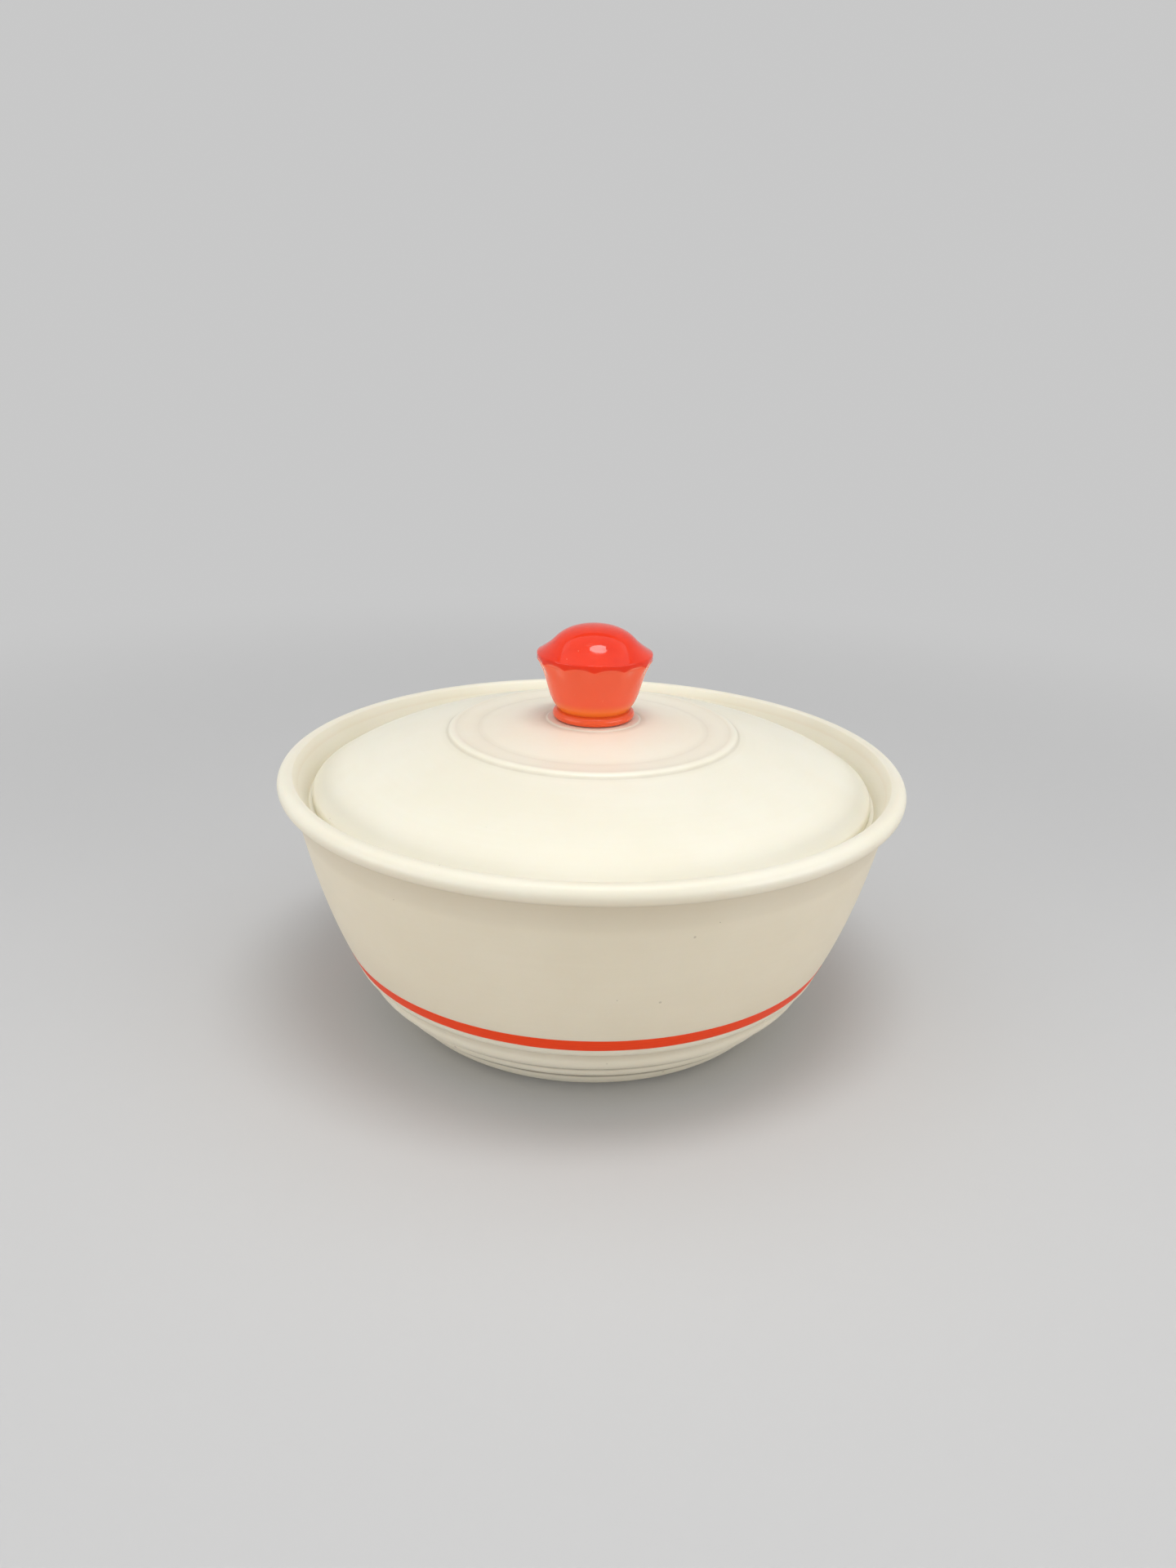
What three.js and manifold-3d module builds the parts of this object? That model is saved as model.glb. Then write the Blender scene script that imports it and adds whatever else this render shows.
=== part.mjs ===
// Covered candy dish in millimetres: +Z up, foot on z = 0, axis of the dish on the Z axis.
// Every round piece is a profile of (radius, height) points turned about the axis.

import * as THREE from 'three';
import { mergeVertices } from 'three/addons/utils/BufferGeometryUtils.js';
import loadManifold from 'manifold-3d';

// Bowl: rim and wall
const BOWL_HEIGHT = 65;
const RIM_RADIUS = 76; // outermost edge of the rolled rim
const RIM_BEAD = 2.4; // radius of the rolled rim's round section
const RIM_UNDER_ANGLE = 116; // degrees from the outermost edge, round the underside, to the wall
const RIM_OVER_ANGLE = 132; // degrees from the outermost edge, over the top, to the lid's recess
const WALL_THICKNESS = 3.4;
const WALL_TOP_ANGLE = 80; // degrees above level that the wall runs in under the rim
const WALL_TOP_REACH = 10.5; // how far the wall holds that line
const WALL_FLARE_ANGLE = 25.6; // degrees above level that the wall leaves the foot
const WALL_FLARE_REACH = 20.4; // how far the wall holds that line

// Bowl: foot and floor
const FOOT_RADIUS = 41; // outer edge of the flat foot ring
const FOOT_RING_WIDTH = 3.2;
const FOOT_HOLLOW = 1.6; // depth of the hollow inside the foot ring
const FOOT_HOLLOW_SLOPE = 1.2; // how far the side of that hollow leans in
const FOOT_TURN_WIDTH = 3.5; // from the foot ring out to where the wall's line starts
const FOOT_TURN_HEIGHT = 1.2;
const FLOOR_THICKNESS = 3.2;
const FLOOR_FILLET = 8; // height of the round corner between floor and wall, inside

// Bowl: ridges between the foot and the stripe, each groove by its height and its depth into the wall
const LOW_GROOVE_HEIGHT = 5.9;
const LOW_GROOVE_DEPTH = 1.2;
const MID_GROOVE_HEIGHT = 9.8;
const MID_GROOVE_DEPTH = 1.5;
const TOP_GROOVE_HEIGHT = 15.6;
const TOP_GROOVE_DEPTH = 1.15;
const TOP_GROOVE_HALF_WIDTH = 1.1; // the top groove is a soft hollow, the others are sharp
const FOOT_ROLL_BULGE = 1.5; // how far each roll stands out from the line between its grooves
const LOW_ROLL_BULGE = 0.6;
const MID_ROLL_BULGE = 0.9;
const TOP_ROLL_BULGE = 0.5;

// Red stripe: enamel laid in a shallow groove round the wall
const BAND_HEIGHT = 19.25; // lower edge
const BAND_WIDTH = 3.3;
const BAND_DEPTH = 0.6;
const BAND_GAP = 0.1;

// The lid's seat: a recess inside the rim with a level ledge at its foot
const SEAT_DEPTH = 7; // ledge below the top of the rim
const SEAT_INSET = 7.1; // outer edge of the ledge inside the rim's outermost edge
const LEDGE_WIDTH = 2.5;
const LEDGE_DRAFT = 0.04; // lean of the wall under the ledge
const LID_CLEARANCE = 0.9; // round the lid's edge
const REST_GAP = 0.1; // between a piece and the face that carries it

// Lid
const LID_THICKNESS = 2.6;
const LID_EDGE_ROUND = 1.45; // over the lid's edge
const LID_FOOT_ROUND = 0.6; // under the lid's edge
const LID_LAND = 0.85; // upright land between the two
const LID_SEAT_WIDTH = 3;
const LID_EDGE_SLOPE = 33.4; // degrees below level, where the dome leaves the edge
const DOME_RISE = 12.85; // from the lid's widest line up to the raised ring
const DOME_RING_SLOPE = 11; // degrees below level, where the dome meets the raised ring
const RING_RADIUS = 35.5; // outer edge of the raised ring
const RING_BEAD_WIDTH = 2.1; // fine bead round the outside of the ring
const RING_BEAD_RISE = 0.9;
const RING_BEAD_BULGE = 0.45;
const RING_WIDTH = 7.5; // whole ring, from its outer edge to the hollow round the knob
const RING_FALL = 0.25; // how far the ring's top falls towards the knob
const PLATEAU_RISE = 2.3; // from the ring's hollow up to the foot of the pad
const PAD_RISE = 0.3;
const PAD_BEVEL = 0.3;
const PAD_MARGIN = 1.3; // pad outside the knob's collar
const BOSS_THICKNESS = 4.4; // from the top of the pad to the boss under the lid
const BOSS_RADIUS = 8;
const BOSS_DRAFT = 0.6;

// Knob
const COLLAR_RADIUS = 9.95;
const COLLAR_BEAD = 1.15; // radius of the collar's round section
const COLLAR_END_ANGLE = 80; // degrees above level that the collar's round section turns to
const WAIST_RADIUS = 8.6;
const LIP_RADIUS = 13.95;
const LIP_HEIGHT = 15.5; // upper edge of the lip's upright face above the knob's seat
const LIP_FACE = 0.85;
const LIP_ROUND = 0.9; // over and under the upright face
const LIP_UNDER_ANGLE = 30; // degrees below level that the body meets the lip's round edge
const LIP_OVER_ANGLE = 70; // degrees above level that the lip's round edge turns to
const BELLY_WIDTH = 3.2; // how far the body swells out above the waist
const BELLY_HEIGHT = 3.6;
const FLARE_WIDTH = 3; // how far the body opens out under the lip
const FLARE_HEIGHT = 4.8;
const CROWN_HEIGHT = 7.35; // top of the knob above the upper edge of the lip's face
const CROWN_DISH = 1.1; // hollow between the lip and the crown
const CROWN_RADIUS = 9.7; // where that hollow turns into the crown
const CROWN_FOOT_RISE = 3.6; // height of that line above the lip
const SCALLOP_COUNT = 12; // flutes round the body that end under the lip
const SCALLOP_DEPTH = 0.55;
const SCALLOP_TOP = 0.25; // upper end of the flutes below the upper edge of the lip's face
const SCALLOP_RISE = 1.1; // height over which they come to their full depth
const SCALLOP_LENGTH = 6; // height over which they die away down the body

// Screw and washer that hold the knob from under the lid
const SCREW_RADIUS = 2;
const SCREW_GRIP = 9; // length of screw inside the knob
const SCREW_TIP = 1.5; // depth of the hole past the screw
const SCREW_GAP = 0.15; // round the screw in the knob
const HOLE_GAP = 0.4; // round the screw in the lid and the washer
const HEAD_RADIUS = 3.8;
const HEAD_HEIGHT = 2.3;
const HEAD_EDGE = 0.8; // upright edge of the head
const SLOT_WIDTH = 1;
const SLOT_DEPTH = 1.1;
const WASHER_RADIUS = 5.6;
const WASHER_THICKNESS = 0.8;

// Faces round each turned piece
const TURN_STEPS = 56;
const STEPS_PER_SCALLOP = 5;
const SMALL_TURN_STEPS = 24;

// Faces along each curve of a profile
const FOOT_ROLL_STEPS = 5;
const LOW_ROLL_STEPS = 3;
const MID_ROLL_STEPS = 4;
const HOLLOW_STEPS = 3;
const TOP_ROLL_STEPS = 2;
const WALL_STEPS = 7;
const RIM_STEPS = 13;
const INSIDE_STEPS = 6;
const FILLET_STEPS = 5;
const LID_FOOT_STEPS = 2;
const LID_EDGE_STEPS = 4;
const DOME_STEPS = 8;
const RING_BEAD_STEPS = 4;
const COLLAR_STEPS = 5;
const BODY_STEPS = 6;
const LIP_UNDER_STEPS = 1;
const LIP_STEPS = 2;
const DISH_STEPS = 3;
const CROWN_STEPS = 5;
const HEAD_STEPS = 5;

// Colour and finish of each piece
const BOWL_IVORY = { color: 0xe6dcc3, roughness: 0.45 };
const STRIPE_RED = { color: 0xcc3318, roughness: 0.35 };
const LID_IVORY = { color: 0xeee6d0, roughness: 0.42 };
const KNOB_RED = { color: 0xd8341a, roughness: 0.2 };
const SCREW_BRASS = { color: 0xc2a868, roughness: 0.35, metalness: 1 };
const WASHER_BRASS = { color: 0xb9a062, roughness: 0.4, metalness: 1 };

// Tolerances of the working: points nearer than the first are one, places are found to the second
const MERGE_GAP = 1e-4;
const PLACE_ERROR = 1e-7;

const wasm = await loadManifold();
wasm.setup();

const point = (radius, height) => new THREE.Vector2(radius, height);
const direction = (degrees) => {
  const angle = THREE.MathUtils.degToRad(degrees);
  return point(Math.cos(angle), Math.sin(angle));
};
const polar = (centre, radius, degrees) => direction(degrees).multiplyScalar(radius).add(centre);

// Points of a circular sweep about a centre, both ends included.
function sweep(centre, radius, fromDegrees, toDegrees, steps) {
  return Array.from({ length: steps + 1 }, (_, i) => {
    return polar(centre, radius, THREE.MathUtils.lerp(fromDegrees, toDegrees, i / steps));
  });
}

// Points of the arc from a to b that stands out to the right of the way by the given bulge,
// or to the left for a negative bulge. The start is left out, so that arcs can be chained.
function bulgedArc(a, b, bulge, steps) {
  const chord = b.clone().sub(a);
  const half = chord.length() / 2;
  const side = point(chord.y, -chord.x).normalize();
  const radius = (half * half + bulge * bulge) / (2 * bulge);
  const centre = a.clone().add(b).multiplyScalar(0.5).addScaledVector(side, bulge - radius);
  const fromCentre = a.clone().sub(centre);
  const turn = 4 * Math.atan(bulge / half);
  return Array.from({ length: steps }, (_, i) => {
    const angle = (turn * (i + 1)) / steps;
    const cos = Math.cos(angle);
    const sin = Math.sin(angle);
    const x = fromCentre.x * cos - fromCentre.y * sin;
    const y = fromCentre.x * sin + fromCentre.y * cos;
    return point(x, y).add(centre);
  });
}

// Where the line through a along u meets the line through b along v.
function crossing(a, u, b, v) {
  const gap = b.clone().sub(a);
  return a.clone().addScaledVector(u, gap.cross(v) / u.cross(v));
}

// Turns a profile about the Z axis. The profile runs up the outside and down the inside.
function turned(profile, steps) {
  return new THREE.LatheGeometry(profile, steps).rotateX(Math.PI / 2);
}

function piece(name, geometry, finish) {
  const mesh = new THREE.Mesh(geometry, new THREE.MeshStandardMaterial(finish));
  mesh.name = name;
  return mesh;
}

function solid(geometry) {
  const bare = geometry.clone();
  bare.deleteAttribute('normal');
  bare.deleteAttribute('uv');
  const merged = mergeVertices(bare, MERGE_GAP);
  return new wasm.Manifold(new wasm.Mesh({
    numProp: 3,
    vertProperties: new Float32Array(merged.attributes.position.array),
    triVerts: new Uint32Array(merged.index.array),
  }));
}

function cut(body, tool) {
  const mesh = solid(body).subtract(solid(tool)).getMesh();
  const geometry = new THREE.BufferGeometry();
  geometry.setAttribute('position', new THREE.BufferAttribute(mesh.vertProperties, 3));
  geometry.setIndex(new THREE.BufferAttribute(mesh.triVerts, 1));
  geometry.computeVertexNormals();
  return geometry;
}

// The wall's outer line: one smooth curve from the turn of the foot to the underside of the rim
const rimCentre = point(RIM_RADIUS - RIM_BEAD, BOWL_HEIGHT - RIM_BEAD);
const wallTop = polar(rimCentre, RIM_BEAD, -RIM_UNDER_ANGLE);
const wallFoot = point(FOOT_RADIUS + FOOT_TURN_WIDTH, FOOT_TURN_HEIGHT);
const wallLine = new THREE.CubicBezierCurve(
  wallFoot,
  polar(wallFoot, WALL_FLARE_REACH, WALL_FLARE_ANGLE),
  polar(wallTop, WALL_TOP_REACH, WALL_TOP_ANGLE + 180),
  wallTop,
);

// Place along the wall's line at a height, found by halving
function wallPlace(height) {
  let low = 0;
  let high = 1;
  while (high - low > PLACE_ERROR) {
    const middle = (low + high) / 2;
    if (wallLine.getPoint(middle).y < height) {
      low = middle;
    } else {
      high = middle;
    }
  }
  return low;
}

// Point at a height on the wall's line, sunk into the wall by a depth
function onWall(height, depth = 0) {
  const place = wallPlace(height);
  const along = wallLine.getTangent(place);
  return wallLine.getPoint(place).addScaledVector(point(-along.y, along.x), depth);
}

const bandTop = BAND_HEIGHT + BAND_WIDTH;
const ledgeHeight = BOWL_HEIGHT - SEAT_DEPTH;
const seatRadius = RIM_RADIUS - SEAT_INSET;
const ledgeRadius = seatRadius - LEDGE_WIDTH;

// Ridged foot: a flat ring, then rolls between grooves, up to the lower edge of the stripe
function footProfile() {
  const lowGroove = onWall(LOW_GROOVE_HEIGHT, LOW_GROOVE_DEPTH);
  const midGroove = onWall(MID_GROOVE_HEIGHT, MID_GROOVE_DEPTH);
  const hollowStart = onWall(TOP_GROOVE_HEIGHT - TOP_GROOVE_HALF_WIDTH, TOP_GROOVE_DEPTH / 2);
  const hollowEnd = onWall(TOP_GROOVE_HEIGHT + TOP_GROOVE_HALF_WIDTH, TOP_GROOVE_DEPTH / 2);
  const ringInside = FOOT_RADIUS - FOOT_RING_WIDTH;
  const ringOutside = point(FOOT_RADIUS, 0);
  return [
    point(0, FOOT_HOLLOW),
    point(ringInside - FOOT_HOLLOW_SLOPE, FOOT_HOLLOW),
    point(ringInside, 0),
    ringOutside,
    ...bulgedArc(ringOutside, lowGroove, FOOT_ROLL_BULGE, FOOT_ROLL_STEPS),
    ...bulgedArc(lowGroove, midGroove, LOW_ROLL_BULGE, LOW_ROLL_STEPS),
    ...bulgedArc(midGroove, hollowStart, MID_ROLL_BULGE, MID_ROLL_STEPS),
    ...bulgedArc(hollowStart, hollowEnd, -TOP_GROOVE_DEPTH / 2, HOLLOW_STEPS),
    ...bulgedArc(hollowEnd, onWall(BAND_HEIGHT), TOP_ROLL_BULGE, TOP_ROLL_STEPS),
  ];
}

// Inside of the bowl from the ledge down to the floor. The wall hangs straight under the ledge
// until the wall's own thickness takes over, then rounds into the floor.
function insideProfile() {
  const floorHeight = FOOT_HOLLOW + FLOOR_THICKNESS;
  const inner = (height) => {
    const drafted = ledgeRadius - LEDGE_DRAFT * (ledgeHeight - height);
    const along = wallLine.getTangent(wallPlace(height));
    const across = WALL_THICKNESS / along.y;
    return point(Math.min(drafted, onWall(height).x - across), height);
  };
  const filletTop = inner(floorHeight + FLOOR_FILLET);
  const slopeSpan = FLOOR_FILLET / 8;
  const wallBelow = inner(filletTop.y - slopeSpan).sub(filletTop);
  const corner = crossing(filletTop, wallBelow, point(0, floorHeight), point(1, 0));
  const floorEdge = point(corner.x - corner.distanceTo(filletTop), floorHeight);
  const wall = Array.from({ length: INSIDE_STEPS }, (_, i) => {
    return inner(THREE.MathUtils.lerp(ledgeHeight, filletTop.y, i / INSIDE_STEPS));
  });
  return [
    ...wall,
    ...new THREE.QuadraticBezierCurve(filletTop, corner, floorEdge).getPoints(FILLET_STEPS),
    point(0, floorHeight),
  ];
}

function bowl() {
  const wallStart = wallPlace(bandTop);
  const wall = Array.from({ length: WALL_STEPS - 1 }, (_, i) => {
    return wallLine.getPoint(THREE.MathUtils.lerp(wallStart, 1, (i + 1) / WALL_STEPS));
  });
  const profile = [
    ...footProfile(),
    onWall(BAND_HEIGHT, BAND_DEPTH),
    onWall(bandTop, BAND_DEPTH),
    onWall(bandTop),
    ...wall,
    ...sweep(rimCentre, RIM_BEAD, -RIM_UNDER_ANGLE, RIM_OVER_ANGLE, RIM_STEPS),
    point(seatRadius, ledgeHeight),
    ...insideProfile(),
  ];
  return piece('bowl', turned(profile, TURN_STEPS), BOWL_IVORY);
}

function redBand() {
  const profile = [
    onWall(BAND_HEIGHT + BAND_GAP, BAND_DEPTH - BAND_GAP),
    onWall(BAND_HEIGHT + BAND_GAP),
    onWall(bandTop - BAND_GAP),
    onWall(bandTop - BAND_GAP, BAND_DEPTH - BAND_GAP),
  ];
  profile.push(profile[0].clone());
  return piece('red_band', turned(profile, TURN_STEPS), STRIPE_RED);
}

// Heights in the lid, from its seat on the ledge up to the pad that carries the knob
const lidFoot = ledgeHeight + REST_GAP;
const lidRadius = seatRadius - LID_CLEARANCE;
const lidWidest = lidFoot + LID_FOOT_ROUND + LID_LAND;
const ringFoot = point(RING_RADIUS, lidWidest + DOME_RISE);
const ringBeadEnd = point(RING_RADIUS - RING_BEAD_WIDTH, ringFoot.y + RING_BEAD_RISE);
const ringInside = point(RING_RADIUS - RING_WIDTH, ringBeadEnd.y - RING_FALL);
const padRadius = COLLAR_RADIUS + PAD_MARGIN;
const padFoot = ringInside.y + PLATEAU_RISE;
const padTop = padFoot + PAD_RISE;
const bossFace = padTop - BOSS_THICKNESS;
const screwHoleRadius = SCREW_RADIUS + HOLE_GAP;

function lid() {
  const edgeCentre = point(lidRadius - LID_EDGE_ROUND, lidWidest);
  const footCentre = point(lidRadius - LID_FOOT_ROUND, lidFoot + LID_FOOT_ROUND);
  const domeStart = polar(edgeCentre, LID_EDGE_ROUND, 90 - LID_EDGE_SLOPE);
  const domeControl = crossing(
    domeStart,
    direction(180 - LID_EDGE_SLOPE),
    ringFoot,
    direction(-DOME_RING_SLOPE),
  );
  const dome = new THREE.QuadraticBezierCurve(domeStart, domeControl, ringFoot);
  const seatInside = point(lidRadius - LID_SEAT_WIDTH, lidFoot);
  const underDome = Array.from({ length: DOME_STEPS + 1 }, (_, i) => {
    const place = i / DOME_STEPS;
    const along = dome.getTangent(place);
    return dome.getPoint(place).addScaledVector(point(-along.y, along.x), LID_THICKNESS);
  });
  const underside = underDome.filter((p) => p.x < seatInside.x && p.y > lidFoot);
  const underPlateau = padFoot - LID_THICKNESS;
  const profile = [
    seatInside,
    ...sweep(footCentre, LID_FOOT_ROUND, -90, 0, LID_FOOT_STEPS),
    ...sweep(edgeCentre, LID_EDGE_ROUND, 0, 90 - LID_EDGE_SLOPE, LID_EDGE_STEPS),
    ...dome.getPoints(DOME_STEPS).slice(1),
    ...bulgedArc(ringFoot, ringBeadEnd, RING_BEAD_BULGE, RING_BEAD_STEPS),
    ringInside,
    point(padRadius + PAD_BEVEL, padFoot),
    point(padRadius, padTop),
    point(screwHoleRadius, padTop),
    point(screwHoleRadius, bossFace),
    point(BOSS_RADIUS, bossFace),
    point(BOSS_RADIUS + BOSS_DRAFT, underPlateau),
    ...underside.reverse(),
    seatInside.clone(),
  ];
  return piece('lid', turned(profile, TURN_STEPS), LID_IVORY);
}

// Knob: collar, flared body, lip and domed crown, turned, then fluted under the lip
const knobSeat = padTop + REST_GAP;
const lipLine = knobSeat + LIP_HEIGHT;

function knobProfile() {
  const collarCentre = point(COLLAR_RADIUS - COLLAR_BEAD, knobSeat + COLLAR_BEAD);
  const lipCentre = point(LIP_RADIUS - LIP_ROUND, lipLine);
  const lipUnderCentre = point(lipCentre.x, lipLine - LIP_FACE);
  const waist = point(WAIST_RADIUS, knobSeat + 2 * COLLAR_BEAD);
  const lipUnder = polar(lipUnderCentre, LIP_ROUND, -LIP_UNDER_ANGLE);
  const body = new THREE.CubicBezierCurve(
    waist,
    point(waist.x + BELLY_WIDTH, waist.y + BELLY_HEIGHT),
    point(lipUnder.x - FLARE_WIDTH, lipUnder.y - FLARE_HEIGHT),
    lipUnder,
  );
  const lipOver = polar(lipCentre, LIP_ROUND, LIP_OVER_ANGLE);
  const crownFoot = point(CROWN_RADIUS, lipLine + CROWN_FOOT_RISE);
  const crownTop = point(0, lipLine + CROWN_HEIGHT);
  const dish = point(CROWN_RADIUS + CROWN_DISH, crownFoot.y - CROWN_DISH);
  const crownControl = crossing(dish, crownFoot.clone().sub(dish), crownTop, point(1, 0));
  const boreRadius = SCREW_RADIUS + SCREW_GAP;
  const boreTop = knobSeat + SCREW_GRIP + SCREW_TIP;
  return [
    point(0, boreTop),
    point(boreRadius, boreTop),
    point(boreRadius, knobSeat),
    ...sweep(collarCentre, COLLAR_BEAD, -90, COLLAR_END_ANGLE, COLLAR_STEPS),
    ...body.getPoints(BODY_STEPS),
    ...sweep(lipUnderCentre, LIP_ROUND, -LIP_UNDER_ANGLE, 0, LIP_UNDER_STEPS).slice(1),
    ...sweep(lipCentre, LIP_ROUND, 0, LIP_OVER_ANGLE, LIP_STEPS),
    ...new THREE.QuadraticBezierCurve(lipOver, dish, crownFoot).getPoints(DISH_STEPS).slice(1),
    ...new THREE.QuadraticBezierCurve(crownFoot, crownControl, crownTop).getPoints(CROWN_STEPS).slice(1),
  ];
}

// Draws the body in between its ridges, from just under the lip's edge down to where the flutes die away
function scallop(geometry) {
  const { smoothstep } = THREE.MathUtils;
  const place = geometry.attributes.position;
  for (let i = 0; i < place.count; i += 1) {
    const x = place.getX(i);
    const y = place.getY(i);
    const radius = Math.hypot(x, y);
    const below = lipLine - SCALLOP_TOP - place.getZ(i);
    const strength = smoothstep(below, 0, SCALLOP_RISE) * (1 - smoothstep(below, 0, SCALLOP_LENGTH));
    if (strength === 0 || radius < WAIST_RADIUS) {
      continue;
    }
    const wave = (1 - Math.cos(SCALLOP_COUNT * Math.atan2(x, -y))) / 2;
    const drawn = 1 - (SCALLOP_DEPTH * wave * strength) / radius;
    place.setXY(i, x * drawn, y * drawn);
  }
  geometry.computeVertexNormals();
  return geometry;
}

function knob() {
  const geometry = turned(knobProfile(), SCALLOP_COUNT * STEPS_PER_SCALLOP);
  return piece('knob', scallop(geometry), KNOB_RED);
}

const washerTop = bossFace - REST_GAP;
const headTop = washerTop - WASHER_THICKNESS - REST_GAP;

function screwWasher() {
  const profile = [
    point(screwHoleRadius, washerTop - WASHER_THICKNESS),
    point(WASHER_RADIUS, washerTop - WASHER_THICKNESS),
    point(WASHER_RADIUS, washerTop),
    point(screwHoleRadius, washerTop),
    point(screwHoleRadius, washerTop - WASHER_THICKNESS),
  ];
  return piece('screw_washer', turned(profile, SMALL_TURN_STEPS), WASHER_BRASS);
}

function knobScrew() {
  const headFace = point(0, headTop - HEAD_HEIGHT);
  const headEdge = point(HEAD_RADIUS, headTop - HEAD_EDGE);
  const rounding = new THREE.QuadraticBezierCurve(headFace, point(HEAD_RADIUS, headFace.y), headEdge);
  const profile = [
    ...rounding.getPoints(HEAD_STEPS),
    point(HEAD_RADIUS, headTop),
    point(SCREW_RADIUS, headTop),
    point(SCREW_RADIUS, knobSeat + SCREW_GRIP),
    point(0, knobSeat + SCREW_GRIP),
  ];
  const slot = new THREE.BoxGeometry(4 * HEAD_RADIUS, SLOT_WIDTH, 2 * SLOT_DEPTH);
  slot.translate(0, 0, headFace.y);
  return piece('knob_screw', cut(turned(profile, SMALL_TURN_STEPS), slot), SCREW_BRASS);
}

const dish = new THREE.Group();
dish.add(bowl(), redBand());

const cover = new THREE.Group();
cover.add(lid(), knob(), screwWasher(), knobScrew());
dish.add(cover);

export default dish;
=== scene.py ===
"""Covered candy dish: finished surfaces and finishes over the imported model.

Every piece is a section, a line of (radius, height) points in millimetres, carried round the Z axis.
The meshes and the scene are in metres.
"""

import bpy
import numpy as np
from mathutils import Matrix, Vector


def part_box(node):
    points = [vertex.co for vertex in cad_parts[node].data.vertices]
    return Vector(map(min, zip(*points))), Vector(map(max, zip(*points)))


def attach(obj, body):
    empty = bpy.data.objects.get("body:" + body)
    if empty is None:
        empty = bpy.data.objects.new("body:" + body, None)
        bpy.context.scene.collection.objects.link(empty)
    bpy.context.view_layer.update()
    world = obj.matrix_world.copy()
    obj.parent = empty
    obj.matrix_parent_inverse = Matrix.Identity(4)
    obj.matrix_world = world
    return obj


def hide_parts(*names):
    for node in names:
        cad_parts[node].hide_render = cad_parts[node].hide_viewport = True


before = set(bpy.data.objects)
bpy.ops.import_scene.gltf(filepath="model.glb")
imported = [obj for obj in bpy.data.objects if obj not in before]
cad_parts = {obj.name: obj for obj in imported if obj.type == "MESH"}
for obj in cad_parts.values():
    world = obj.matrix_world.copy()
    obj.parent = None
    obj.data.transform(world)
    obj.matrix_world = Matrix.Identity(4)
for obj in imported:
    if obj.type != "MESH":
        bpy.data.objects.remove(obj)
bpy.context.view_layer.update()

MM = 0.001


def box_mm(node):
    """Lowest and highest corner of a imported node, in millimetres."""
    return [np.array(corner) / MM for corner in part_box(node)]


bowl_high = box_mm("bowl")[1]
lid_low, lid_high = box_mm("lid")
knob_low, knob_high = box_mm("knob")
washer_low, washer_high = box_mm("screw_washer")
screw_low, screw_high = box_mm("knob_screw")

# Bowl: rim and wall
RIM_RADIUS = bowl_high[0]
BOWL_HEIGHT = bowl_high[2]
RIM_BEAD = 2.4
RIM_UNDER_ANGLE = 116
RIM_OVER_ANGLE = 121
WALL_THICKNESS = 3.4
WALL_TOP_ANGLE = 80
WALL_TOP_REACH = 10.5
WALL_FLARE_ANGLE = 25.6
WALL_FLARE_REACH = 20.4

# Bowl: foot, floor and the ridges between foot and stripe
FOOT_RADIUS = 41
FOOT_RING_WIDTH = 3.2
FOOT_HOLLOW = 1.6
FOOT_HOLLOW_SLOPE = 1.2
FOOT_TURN_WIDTH = 3.5
FOOT_TURN_HEIGHT = 1.2
FLOOR_THICKNESS = 3.2
FLOOR_FILLET = 8
LOW_GROOVE_HEIGHT = 5.9
LOW_GROOVE_DEPTH = 1.2
MID_GROOVE_HEIGHT = 9.8
MID_GROOVE_DEPTH = 1.5
TOP_GROOVE_HEIGHT = 15.6
TOP_GROOVE_DEPTH = 1.15
TOP_GROOVE_HALF_WIDTH = 1.1
FOOT_ROLL_BULGE = 1.5
LOW_ROLL_BULGE = 0.9
MID_ROLL_BULGE = 1.1
TOP_ROLL_BULGE = 0.5

# Stripe: enamel that fills a groove and stands a hair proud of the wall
BAND_HEIGHT = 19.25
BAND_WIDTH = 3.3
BAND_DEPTH = 0.6
BAND_PROUD = 0.05
BAND_OVERLAP = 0.15
BAND_WANDER = 0.025
# Waves of its edges, each with its height, its count round the bowl and where it starts
UPPER_WAVES = ((1, 5, 0.4), (0.7, 13, 2.1), (0.5, 31, 1.3))
LOWER_WAVES = ((1, 4, 1.9), (0.7, 17, 0.2), (0.5, 29, 4.0))

# The lid's seat in the bowl
SEAT_DEPTH = 7
SEAT_INSET = 7.1
LEDGE_WIDTH = 2.5
LEDGE_DRAFT = 0.04

# Lid
LID_RADIUS = lid_high[0]
LID_FOOT = lid_low[2]
LID_THICKNESS = 2.6
LID_EDGE_ROUND = 1.45
LID_FOOT_ROUND = 0.6
LID_LAND = 0.85
LID_SEAT_WIDTH = 3
LID_EDGE_SLOPE = 33.4
DOME_RISE = 12.85
DOME_RING_SLOPE = 11
RING_RADIUS = 35.5
RING_BEAD_WIDTH = 2.1
RING_BEAD_RISE = 0.9
RING_BEAD_BULGE = 0.45
RING_WIDTH = 7.5
RING_FALL = 0.25
PAD_TOP = lid_high[2]
PAD_RISE = 0.3
PAD_BEVEL = 0.3
PAD_RADIUS = 11.25
BOSS_THICKNESS = 4.4
BOSS_RADIUS = 8
BOSS_DRAFT = 0.6
LID_HOLE_RADIUS = 2.4

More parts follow.
